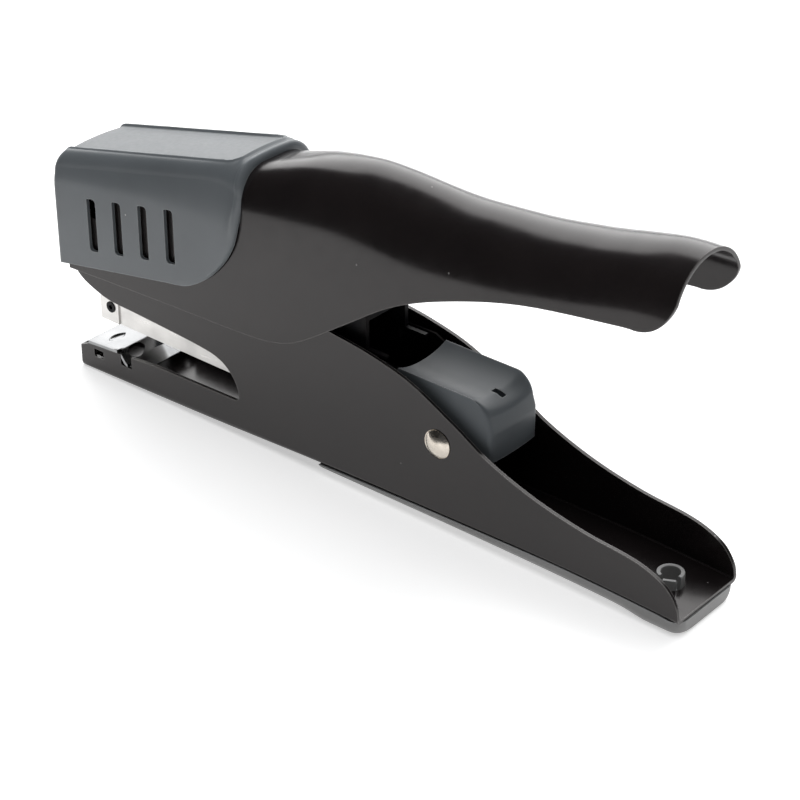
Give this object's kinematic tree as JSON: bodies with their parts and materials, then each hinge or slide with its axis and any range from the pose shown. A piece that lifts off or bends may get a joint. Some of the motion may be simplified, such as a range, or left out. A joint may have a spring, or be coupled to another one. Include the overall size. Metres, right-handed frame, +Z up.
{
  "type": "plier stapler",
  "caption": "Plier-type hand stapler whose upper handle drives an arm and blade through a pivoting staple magazine onto the anvil in its lower jaw.",
  "frame": {"origin": "middle of the overall length and width, on the surface that the stapler stands on", "axes": "+X from the jaw to the handle ends, +Y to the right of a user who looks from the handles towards the jaw, +Z up"},
  "size_m": [0.1886, 0.028, 0.0872],
  "materials": {
    "black_steel": "satin gloss black paint",
    "grey_plastic": "fine satin moulding, slate grey",
    "chrome": "bright chrome plate",
    "nickel": "bright nickel plate",
    "bare_steel": "drawn steel",
    "spring_steel": "bright spring steel",
    "dark_steel": "black oxide",
    "zinc_plate": "bright zinc plate",
    "staple_wire": "galvanised wire"
  },
  "bodies": {
    "frame": {"frame_channel": "black_steel", "grip_cover": "grey_plastic", "anvil_plate": "chrome", "pivot_rivets": "nickel", "handle_pin": "bare_steel", "pin_bush": "bare_steel", "lift_spring": "spring_steel"},
    "handle": {"handle_shell": "black_steel", "head_cap": "grey_plastic", "presser_saddle": "dark_steel"},
    "arm": {"driver_arm": "dark_steel", "driver_blade": "spring_steel", "blade_rivets": "nickel", "arm_spring": "spring_steel"},
    "magazine": {"magazine_channel": "zinc_plate", "magazine_nose": "zinc_plate", "nose_rivets": "dark_steel", "magazine_cover": "zinc_plate", "cover_rivets": "nickel", "left_bracket": "zinc_plate", "right_bracket": "zinc_plate", "bracket_rivets": "nickel", "staple_rail": "zinc_plate", "rail_rivets": "nickel", "staple_stick": "staple_wire"},
    "pusher": {"pusher_cap": "grey_plastic", "pusher_rod": "bare_steel", "pusher_follower": "zinc_plate", "rod_collar": "bare_steel", "pusher_spring": "spring_steel"}
  },
  "joints": [
    {"name": "handle_squeeze", "type": "hinge", "parent": "frame", "child": "handle", "pos_m": [-0.081, 0, 0.048], "axis": [0, 1, 0], "range_deg": [0, 13.7], "stiffness_Nm_per_rad": 4, "springref_deg": -5.73, "deforming": ["arm_spring", "lift_spring"]},
    {"name": "arm_swing", "type": "hinge", "parent": "frame", "child": "arm", "pos_m": [0.0275, 0, 0.0231], "axis": [0, -1, 0], "range_deg": [0, 6.85]},
    {"name": "magazine_swing", "type": "hinge", "parent": "frame", "child": "magazine", "pos_m": [0.0275, 0, 0.0231], "axis": [0, -1, 0], "range_deg": [0, 2.62]},
    {"name": "pusher_draw", "type": "slide", "parent": "magazine", "child": "pusher", "axis": [1, 0, 0], "range_m": [0, 0.055], "stiffness_N_per_m": 40, "springref_m": -0.02}
  ],
  "couplings": [
    {"joint": "arm_swing", "follows": "handle_squeeze", "ratio": 0.497},
    {"joint": "magazine_swing", "follows": "handle_squeeze", "ratio": 0.19}
  ]
}
